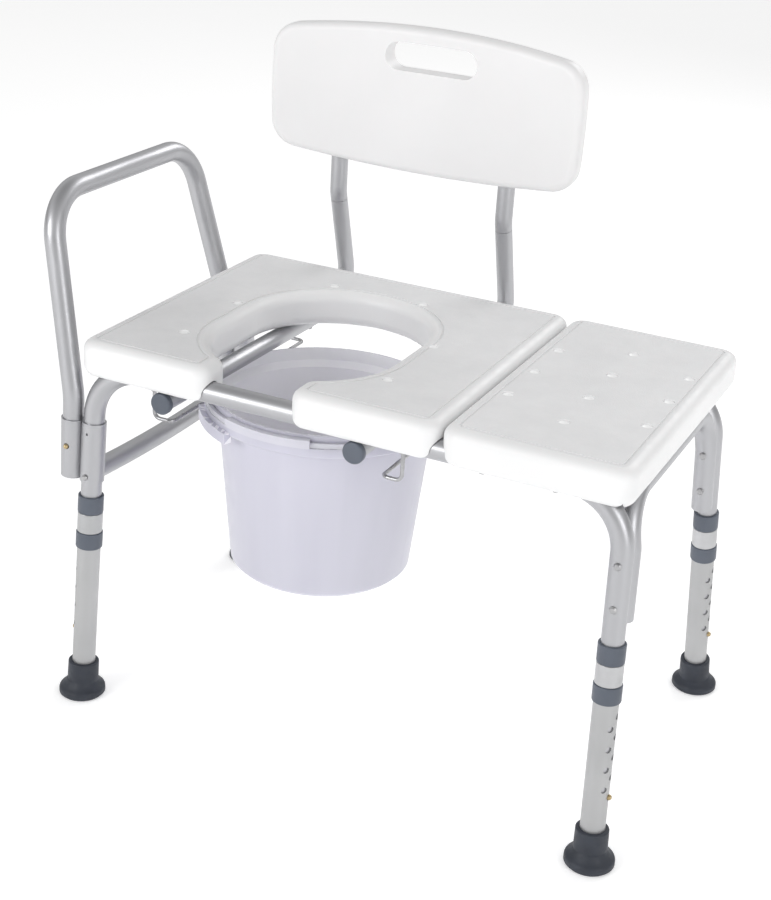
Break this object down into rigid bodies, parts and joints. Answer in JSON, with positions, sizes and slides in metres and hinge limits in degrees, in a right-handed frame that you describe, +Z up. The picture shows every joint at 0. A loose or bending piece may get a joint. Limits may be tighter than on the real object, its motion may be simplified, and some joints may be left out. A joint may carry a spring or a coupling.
{
  "type": "commode transfer bench",
  "caption": "Transfer bench with a commode opening, sliding bucket on wire hangers, lift-off backrest and side arm, and telescopic legs with rubber feet.",
  "frame": {"origin": "middle of the bounding box in X and Y, at floor level under the rubber feet", "axes": "+Z up, +Y from the open front towards the backrest, +X along the bench from the arm rail towards the transfer end"},
  "size_m": [0.7883, 0.5019, 0.809],
  "materials": {
    "frame_tube": "satin anodised tube",
    "extension_tube": "matte drawn tube",
    "grey_plastic": "moulded blue-grey collar",
    "collar_metal": "satin turned sleeve",
    "foot_rubber": "dark matt moulded rubber",
    "white_panel": "fine-grained blow-moulded plastic",
    "bucket_plastic": "thin, slightly see-through moulding",
    "handle_plastic": "thin moulding",
    "button_brass": "plain pressed pin",
    "wire_steel": "bright drawn wire",
    "fastener_steel": "zinc-plated"
  },
  "bodies": {
    "frame": {"back_frame_tube": "frame_tube", "bow_rivets": "fastener_steel", "bucket_rail_post_left": "frame_tube", "bucket_rail_post_right": "frame_tube", "commode_seat": "white_panel", "front_frame_tube": "frame_tube", "rail_plug_left": "grey_plastic", "rail_plug_right": "grey_plastic", "rail_screws": "fastener_steel", "seat_screws": "fastener_steel", "side_bow_tube": "frame_tube", "side_brace_tube": "frame_tube", "sleeve_rivets": "fastener_steel", "transfer_seat": "white_panel", "twin_sleeve_back": "frame_tube", "twin_sleeve_front": "frame_tube", "wire_hanger_left": "wire_steel", "wire_hanger_right": "wire_steel"},
    "leg_front_left": {"leg_extension_front_left": "extension_tube", "rubber_foot_front_left": "foot_rubber", "upper_ring_front_left": "grey_plastic", "collar_sleeve_front_left": "collar_metal", "lower_ring_front_left": "grey_plastic"},
    "leg_button_front_left": {"leg_button_front_left": "button_brass"},
    "leg_front_right": {"leg_extension_front_right": "extension_tube", "rubber_foot_front_right": "foot_rubber", "upper_ring_front_right": "grey_plastic", "collar_sleeve_front_right": "collar_metal", "lower_ring_front_right": "grey_plastic"},
    "leg_button_front_right": {"leg_button_front_right": "button_brass"},
    "leg_back_left": {"leg_extension_back_left": "extension_tube", "rubber_foot_back_left": "foot_rubber", "upper_ring_back_left": "grey_plastic", "collar_sleeve_back_left": "collar_metal", "lower_ring_back_left": "grey_plastic"},
    "leg_button_back_left": {"leg_button_back_left": "button_brass"},
    "leg_back_right": {"leg_extension_back_right": "extension_tube", "rubber_foot_back_right": "foot_rubber", "upper_ring_back_right": "grey_plastic", "collar_sleeve_back_right": "collar_metal", "lower_ring_back_right": "grey_plastic"},
    "leg_button_back_right": {"leg_button_back_right": "button_brass"},
    "arm_rail": {"arm_rail": "frame_tube"},
    "arm_button_front": {"arm_button_front": "button_brass"},
    "arm_button_back": {"arm_button_back": "button_brass"},
    "backrest": {"backrest_panel": "white_panel", "upper_post_left": "frame_tube", "upper_post_right": "frame_tube", "backrest_screws": "fastener_steel"},
    "post_button_left": {"post_button_left": "button_brass"},
    "post_button_right": {"post_button_right": "button_brass"},
    "bucket": {"bucket": "bucket_plastic"},
    "bail_handle": {"bail_handle": "handle_plastic"}
  },
  "joints": [
    {"name": "leg_front_left_slide", "type": "slide", "parent": "frame", "child": "leg_front_left", "axis": [-0.0339, -0.0479, -0.9983], "range_m": [0, 0.1016], "deforming": ["leg_button_front_left"]},
    {"name": "leg_button_front_left_press", "type": "slide", "parent": "frame", "child": "leg_button_front_left", "axis": [0.9994, -0.0016, -0.0339], "range_m": [0, 0.0057], "stiffness_N_per_m": 400, "springref_m": -0.001},
    {"name": "leg_front_right_slide", "type": "slide", "parent": "frame", "child": "leg_front_right", "axis": [0.0339, -0.0479, -0.9983], "range_m": [0, 0.1016], "deforming": ["leg_button_front_right"]},
    {"name": "leg_button_front_right_press", "type": "slide", "parent": "frame", "child": "leg_button_front_right", "axis": [-0.9994, -0.0016, -0.0339], "range_m": [0, 0.0057], "stiffness_N_per_m": 400, "springref_m": -0.001},
    {"name": "leg_back_left_slide", "type": "slide", "parent": "frame", "child": "leg_back_left", "axis": [-0.0336, 0.1425, -0.9892], "range_m": [0, 0.1016], "deforming": ["leg_button_back_left"]},
    {"name": "leg_button_back_left_press", "type": "slide", "parent": "frame", "child": "leg_button_back_left", "axis": [0.9994, 0.0048, -0.0333], "range_m": [0, 0.0057], "stiffness_N_per_m": 400, "springref_m": -0.001},
    {"name": "leg_back_right_slide", "type": "slide", "parent": "frame", "child": "leg_back_right", "axis": [0.0336, 0.1425, -0.9892], "range_m": [0, 0.1016], "deforming": ["leg_button_back_right"]},
    {"name": "leg_button_back_right_press", "type": "slide", "parent": "frame", "child": "leg_button_back_right", "axis": [-0.9994, 0.0048, -0.0333], "range_m": [0, 0.0057], "stiffness_N_per_m": 400, "springref_m": -0.001},
    {"name": "arm_rail_lift", "type": "slide", "parent": "frame", "child": "arm_rail", "axis": [0.034, 0, 0.9994], "range_m": [0, 0.07], "deforming": ["arm_button_front", "arm_button_back"]},
    {"name": "arm_button_front_press", "type": "slide", "parent": "arm_rail", "child": "arm_button_front", "axis": [0, 1, 0], "range_m": [0, 0.0057], "stiffness_N_per_m": 400, "springref_m": -0.001},
    {"name": "arm_button_back_press", "type": "slide", "parent": "arm_rail", "child": "arm_button_back", "axis": [0, -1, 0], "range_m": [0, 0.0057], "stiffness_N_per_m": 400, "springref_m": -0.001},
    {"name": "backrest_lift", "type": "slide", "parent": "frame", "child": "backrest", "axis": [0, -0.2935, 0.956], "range_m": [0, 0.035], "deforming": ["post_button_left", "post_button_right"]},
    {"name": "post_button_left_press", "type": "slide", "parent": "backrest", "child": "post_button_left", "axis": [0, -0.956, -0.2935], "range_m": [0, 0.0039], "stiffness_N_per_m": 400, "springref_m": -0.001},
    {"name": "post_button_right_press", "type": "slide", "parent": "backrest", "child": "post_button_right", "axis": [0, -0.956, -0.2935], "range_m": [0, 0.0039], "stiffness_N_per_m": 400, "springref_m": -0.001},
    {"name": "bucket_slide", "type": "slide", "parent": "frame", "child": "bucket", "axis": [0, -1, 0], "range_m": [-0.03, 0.13]},
    {"name": "bail_handle_hinge", "type": "hinge", "parent": "bucket", "child": "bail_handle", "pos_m": [-0.0842, -0.0349, 0.4008], "axis": [-1, 0, 0], "range_deg": [0, 6]}
  ]
}
